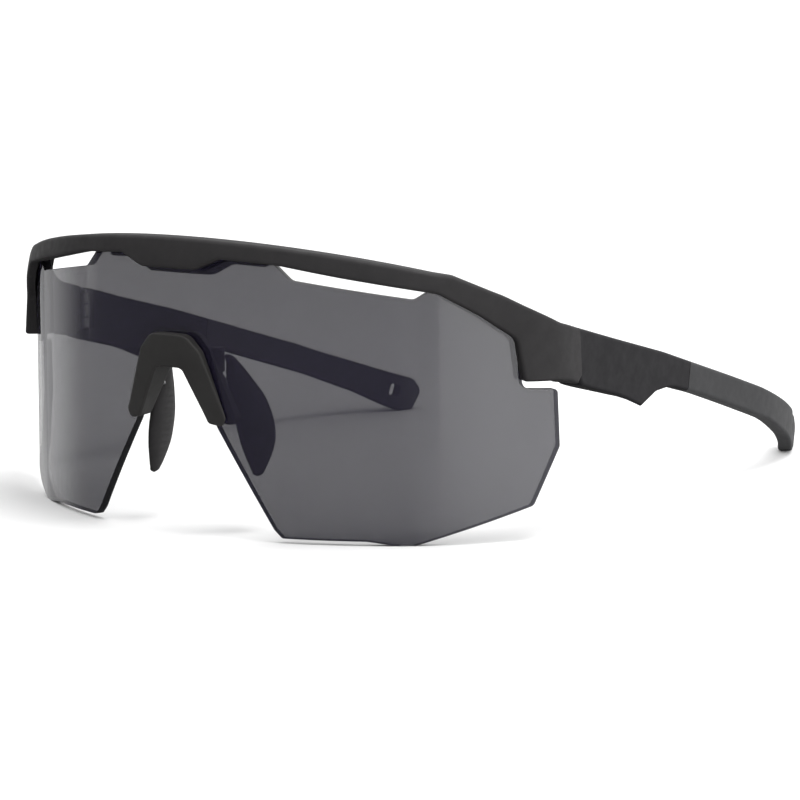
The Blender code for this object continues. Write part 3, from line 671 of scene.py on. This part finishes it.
def sleeve_cut(half):
    """Everything behind (half = -1) or before (half = 1) the slanted seam between the arm and its sleeve."""
    seam = SLEEVE_Y + half * GAP / 2
    near = [Vector((seam + SLEEVE_SEAM_LEAN * (z - SLEEVE_SEAM_Z), z)) for z in (-10.0, 50.0)]
    far = [Vector((SLEEVE_Y - half * 100.0, z)) for z in (50.0, -10.0)]
    bm = plate(near + far, 40.0, 80.0)
    for vert in bm.verts:
        y, z, x = vert.co
        vert.co = Vector((x, y, z)) * MM
    return object_from(bm, "sleeve_half")


def strap_slot():
    """Rounded slot through the tip, square to its outer face."""
    y, z = STRAP_SLOT_AT
    x, rate = smooth_curve(TEMPLE_PLAN, y - FRONT_Y)
    u, v = STRAP_SLOT[0] / 2, STRAP_SLOT[1] / 2
    bm = plate(rounded([(-u, v, 0.8), (-u, -v, 0.8), (u, -v, 0.8), (u, v, 0.8)]), -8.0, 8.0)
    upright = Matrix.Rotation(math.radians(90.0), 4, "Y") @ Matrix.Rotation(math.radians(90.0), 4, "Z")
    tilt = Matrix.Rotation(-math.atan(TEMPLE_FALL), 4, "X")
    turn = Matrix.Rotation(math.atan(-rate), 4, "Z")
    bmesh.ops.scale(bm, vec=(MM, MM, MM), verts=bm.verts)
    place = Matrix.Translation(Vector((x, y, z)) * MM)
    bmesh.ops.transform(bm, matrix=place @ turn @ tilt @ upright, verts=bm.verts)
    return object_from(bm, "strap_slot")


def hinge_room():
    """What the arm gives up for the knuckles and for swinging clear of the end piece."""
    axis = frame["joints"][0]["pos_m"]
    x, y = axis[0] / MM, axis[1] / MM
    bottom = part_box("frame_leaf_left")[0].z / MM - GAP
    leaf_low, leaf_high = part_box("temple_leaf_left")
    room = KNUCKLE_RADIUS + GAP
    knuckles = box((x - 8.0, SEAM_Y - 4.0, bottom), (x + room, y + room, 60.0), "knuckle_room")
    inner, outer = LEAF_ACROSS
    leaf = box((inner - GAP, y, leaf_low.z / MM - GAP),
               (outer + GAP, leaf_high.y / MM + GAP, leaf_high.z / MM + GAP), "leaf_room")
    radius = y - SEAM_Y - GAP
    turns = np.linspace(0.0, math.pi / 2, 17)
    arc = [Vector((x - radius * math.cos(turn), y - radius * math.sin(turn))) for turn in turns]
    arc += [Vector((x, y - 6.0)), Vector((x - 8.0, y - 6.0)), Vector((x - 8.0, y))]
    bm = plate(arc, 20.0, 50.0)
    bmesh.ops.scale(bm, vec=(MM, MM, MM), verts=bm.verts)
    return knuckles, leaf, object_from(bm, "corner_room")


def make_temple(plastic, rubber):
    arm = temple_solid("arm_left", plastic)
    cut(arm, sleeve_cut(-1), *hinge_room())
    sleeve = temple_solid("sleeve_left", rubber)
    cut(sleeve, sleeve_cut(1), strap_slot())
    return arm, sleeve


# ---------------------------------------------------------------- nose clip, pads and wires
CLIP_HALF = [
    (0.0, 42.3, 0.0),
    (4.4, 42.2, 3.5),
    (7.6, 38.8, 2.5),
    (12.9, 25.2, 1.3),
    (12.0, 23.4, 1.2),
    (8.9, 24.0, 1.0),
    (3.2, 35.2, 1.8),
    (0.0, 35.2, 0.0),
]
CLIP_BACK = -4.2
CLIP_FRONT = 1.6
CLIP_FOLD = 1.0  # how far the faces of the legs fall back beside the bridge
CLIP_FLARE = 1.5  # how much further apart the legs are at the back, at their feet


def clip_lean(z):
    """How far the clip's face stands further forward than at its feet."""
    return 0.8 * clamped((z - 26.0) / 14.0)


def make_clip(material):
    outline = rounded(both_sides(CLIP_HALF))
    bm = plate(outline, CLIP_BACK, CLIP_FRONT, bevel=0.55)
    slice_plate(bm, frange(-12.0, 12.0, 1.0))
    slice_plate(bm, frange(24.5, 41.5, 1.0), (0.0, 1.0))
    for vert in bm.verts:
        s, z, depth = vert.co
        if depth > 0.0:
            vert.co.z += clip_lean(z) - CLIP_FOLD * clamped((abs(s) - 4.0) / 8.0)
        else:
            vert.co.x += math.copysign(CLIP_FLARE, s) * clamped((38.0 - z) / 14.0) * depth / CLIP_BACK
    bend(bm, lens_point)
    clip = object_from(bm, "bridge_clip", [material])
    cut(clip, lens_room())
    x, y = PAD_STUB
    bottom, top = PAD_STUB_Z
    for side in (1, -1):
        stub = (side * x, FRONT_Y + y)
        combine(clip, cylinder(stub, WIRE_RADIUS + 1.0, bottom + 1.0, top + 0.8, "boss"), "UNION")
        cut(clip, cylinder(stub, WIRE_RADIUS + 0.2, bottom - 4.0, top + 0.2, "stub_bore"))
    return weighted(clip)


# x, y, z, half width, half thickness, from the pad's root to its tip
PAD_STATIONS = [
    (8.0, 7.8, 36.4, 0.5, 0.4),
    (8.2, 8.0, 36.0, 1.0, 0.75),
    (8.6, 8.5, 35.0, 1.4, 1.0),
    (9.3, 8.9, 33.0, 2.5, 1.25),
    (10.1, 9.6, 30.5, 3.5, 1.45),
    (11.1, 10.5, 27.5, 4.4, 1.6),
    (11.9, 11.2, 24.0, 4.95, 1.7),
    (12.6, 11.5, 20.5, 5.0, 1.7),
    (13.1, 11.5, 17.0, 4.3, 1.55),
    (13.4, 11.1, 14.2, 2.9, 1.3),
    (13.6, 10.7, 12.3, 1.7, 1.0),
    (13.7, 10.4, 11.3, 0.9, 0.6),
    (13.7, 10.3, 11.05, 0.25, 0.2),
]
WIRE_STUB = [(*PAD_STUB, PAD_STUB_Z[1]), (*PAD_STUB, 34.5), (*PAD_STUB, PAD_STUB_Z[0]), (7.6, 5.3, 32.2)]
WIRE_ARM = [(8.3, 6.7, 31.4), (9.3, 8.4, 30.6), (10.4, 9.9, 29.2), (11.4, 10.9, 26.2), (12.1, 11.3, 22.8)]
PAD_RIBS = (14.0, 30.0, 1.5)  # lowest, highest and spacing of the ribs on the face that meets the nose


def make_pad(side, rubber, steel_wire):
    sign = 1.0 if side == "left" else -1.0
    lift = PAD_LIFT[side]
    wide = Vector((math.cos(PAD_HEADING), math.sin(PAD_HEADING), 0.0))
    deep = Vector((wide.y, -wide.x, 0.0))
    stations = np.array(PAD_STATIONS)
    along = np.concatenate([[0.0], np.cumsum(np.linalg.norm(np.diff(stations[:, :3], axis=0), axis=1))])
    sides = 48
    bm = bmesh.new()
    rings = []
    for at in frange(0.0, float(along[-1]), 0.3):
        x, y, z, half_width, half_thickness = (
            smooth_curve(list(zip(along, column)), at)[0] for column in stations.T
        )
        centre = Vector((x, FRONT_Y + y, z + lift))
        low, high, pitch = PAD_RIBS
        rib = 0.16 * max(math.cos(2 * math.pi * (z - low) / pitch), 0.0) if low < z < high else 0.0
        ring = []
        for k in range(sides):
            angle = 2 * math.pi * k / sides
            across = math.cos(angle)
            face = -math.sin(angle)
            depth = half_thickness * math.sin(angle)
            if face > 0.0:
                depth += rib * max(1.0 - (across / 0.55) ** 2, 0.0)
            place = centre + wide * max(half_width, 0.05) * across + deep * depth
            ring.append(bm.verts.new(Vector((sign * place.x, place.y, place.z)) * MM))
        rings.append(ring)
    for upper, lower in zip(rings, rings[1:]):
        for k in range(sides):
            after = (k + 1) % sides
            bm.faces.new((upper[k], upper[after], lower[after], lower[k]))
    bm.faces.new(rings[0])
    bm.faces.new(reversed(rings[-1]))
    pad = object_from(bm, f"pad_{side}", [rubber])
    route = WIRE_STUB + [(x, y, z + lift) for x, y, z in WIRE_ARM]
    route = [(sign * x, FRONT_Y + y, z) for x, y, z in route]
    wire = tube(route, WIRE_RADIUS, f"wire_{side}", steel_wire)
    return pad, wire


# ---------------------------------------------------------------- assembly
def stand_for(piece, node, body):
    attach(piece, body)
    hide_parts(node)


def dress(node, material, round_over=0.06):
    """A CAD node that stays, with its edges broken and a material of its own."""
    obj = frame["nodes"][node]
    obj.data.materials.clear()
    obj.data.materials.append(material)
    obj.data.shade_smooth()
    obj.data.set_sharp_from_angle(angle=math.radians(30.0))
    bevel = obj.modifiers.new("broken_edges", "BEVEL")
    bevel.width = round_over * MM
    bevel.segments = 2
    bevel.limit_method = "ANGLE"
    bevel.angle_limit = math.radians(40.0)
    weighted(obj)


def build_object():
    frame_plastic = moulded("matte_frame_plastic", (0.0195, 0.0182, 0.0192), 0.62, specular=0.3)
    temple_plastic = moulded("matte_temple_plastic", (0.0118, 0.0110, 0.0130), 0.60, specular=0.22)
    clip_plastic = moulded("satin_clip_plastic", (0.0220, 0.0210, 0.0205), 0.52)
    sleeve_rubber = moulded("soft_sleeve_rubber", (0.031, 0.031, 0.033), 0.66, grain=0.3, specular=0.3,
                            sheen=0.04)
    pad_rubber = moulded("soft_pad_rubber", (0.022, 0.0205, 0.0215), 0.70, grain=0.35, specular=0.3,
                         sheen=0.04)
    hinge_steel = steel("stamped_hinge_steel", (0.52, 0.52, 0.53), 0.34, (1.0, 0.15, 1.0))
    screw_steel = steel("turned_screw_steel", (0.62, 0.62, 0.63), 0.24, (1.0, 1.0, 0.2))
    wire_steel = steel("drawn_wire_steel", (0.56, 0.56, 0.57), 0.30, (1.0, 1.0, 0.12))

    stand_for(make_lens(tinted_lens("grey_lens_tint"), ground_edge("lens_cut_edge")), "lens_shield", "front")
    stand_for(make_brow(frame_plastic), "brow_frame", "front")
    stand_for(make_clip(clip_plastic), "nose_clip", "front")
    arm, sleeve = make_temple(temple_plastic, sleeve_rubber)
    right_arm = mirrored(arm, "arm_right")
    right_sleeve = mirrored(sleeve, "sleeve_right")
    for side, pieces in (("left", (arm, sleeve)), ("right", (right_arm, right_sleeve))):
        for piece, kind, slot in zip(pieces, ("arm", "sleeve"), ("temple_plastic", "sleeve_rubber")):
            stand_for(weighted(piece), f"temple_{kind}_{side}", f"temple_{side}")
        pad, wire = make_pad(side, pad_rubber, wire_steel)
        stand_for(pad, f"nose_pad_{side}", f"pad_{side}")
        stand_for(wire, f"pad_wire_{side}", f"pad_{side}")
        dress(f"frame_leaf_{side}", hinge_steel)
        dress(f"temple_leaf_{side}", hinge_steel)
        dress(f"hinge_screw_{side}", screw_steel, 0.04)


# ---------------------------------------------------------------- studio
def make_floor():
    bm = bmesh.new()
    bmesh.ops.create_grid(bm, x_segments=1, y_segments=1, size=6.0)
    mesh = bpy.data.meshes.new("floor")
    bm.to_mesh(mesh)
    bm.free()
    floor = link(bpy.data.objects.new("floor", mesh))
    nodes = Nodes("pale_floor")
    cloud = nodes.ranged(nodes.noise(60.0), 0.0, 1.0)
    nodes.join("Base Color", nodes.between(cloud, (0.90, 0.90, 0.90), (0.92, 0.92, 0.92)))
    nodes.set(Roughness=0.9, Specular_IOR_Level=0.0)
    mesh.materials.append(nodes.material)
    floor.visible_glossy = False


AMBIENT = 0.16
STUDIO_LOBES = (  # direction, cosines at which the light starts and is full, strength
    ((0.0, 0.0, 1.0), 0.15, 0.75, 1.05),  # ceiling
    ((0.996, 0.087, 0.0), 0.50, 0.966, 1.05),  # right
    ((-0.906, 0.423, 0.0), 0.82, 1.0, 0.78),  # left
    ((0.2, 0.98, 0.25), 0.5, 1.0, 0.8),  # back
)


def make_world():
    """White to the camera; to everything else a dim front between a bright ceiling, sides and back."""
    world = bpy.data.worlds.new("studio")
    bpy.context.scene.world = world
    world.use_nodes = True
    tree = world.node_tree
    background = tree.nodes["Background"]

    def math_node(operation, first, second=0.0):
        node = tree.nodes.new("ShaderNodeMath")
        node.operation = operation
        for socket, value in zip(node.inputs, (first, second)):
            if isinstance(value, bpy.types.NodeSocket):
                tree.links.new(value, socket)
            else:
                socket.default_value = value
        return node.outputs[0]

    def lobe(direction, start, stop, strength):
        """Light that grows smoothly as a ray turns to the direction, between two cosines."""
        dot = tree.nodes.new("ShaderNodeVectorMath")
        dot.operation = "DOT_PRODUCT"
        tree.links.new(direction_out, dot.inputs[0])
        dot.inputs[1].default_value = Vector(direction).normalized()
        ramp = tree.nodes.new("ShaderNodeMapRange")
        ramp.interpolation_type = "SMOOTHSTEP"
        tree.links.new(dot.outputs["Value"], ramp.inputs["Value"])
        ramp.inputs["From Min"].default_value = start
        ramp.inputs["From Max"].default_value = stop
        ramp.inputs["To Max"].default_value = strength
        return ramp.outputs["Result"]

    direction_out = tree.nodes.new("ShaderNodeTexCoord").outputs["Generated"]
    light = AMBIENT
    for settings in STUDIO_LOBES:
        light = math_node("ADD", lobe(*settings), light)
    seen = tree.nodes.new("ShaderNodeLightPath").outputs["Is Camera Ray"]
    blend = tree.nodes.new("ShaderNodeMix")
    tree.links.new(seen, blend.inputs["Factor"])
    tree.links.new(light, blend.inputs[2])
    blend.inputs[3].default_value = 1.0
    tree.links.new(blend.outputs[0], background.inputs["Strength"])
    background.inputs["Color"].default_value = (1.0, 1.0, 1.0, 1.0)


def make_light(name, place, aim, size, power):
    lamp = bpy.data.lights.new(name, "AREA")
    lamp.shape = "DISK"
    lamp.size = size
    lamp.energy = power
    obj = link(bpy.data.objects.new(name, lamp))
    obj.location = place
    obj.rotation_euler = (Vector(aim) - Vector(place)).to_track_quat("-Z", "Y").to_euler()
    return obj


def make_camera():
    camera = link(bpy.data.objects.new("camera", bpy.data.cameras.new("camera")))
    camera.data.lens = 148.5
    camera.data.sensor_width = 36.0
    camera.data.clip_start = 0.05
    camera.data.clip_end = 30.0
    camera.location = (CAMERA_FROM_LENS + Vector((0.0, FRONT_Y, 0.0))) * MM
    camera.rotation_euler = (math.radians(90.0) - CAMERA_ELEVATION, 0.0, CAMERA_AZIMUTH)
    bpy.context.scene.camera = camera


build_object()
make_floor()
make_world()
make_light("ceiling_softbox", (0.26, -0.02, 0.95), (0.0, 0.0, 0.02), 0.42, 4.2)
make_camera()
bpy.context.scene.view_settings.view_transform = "Standard"
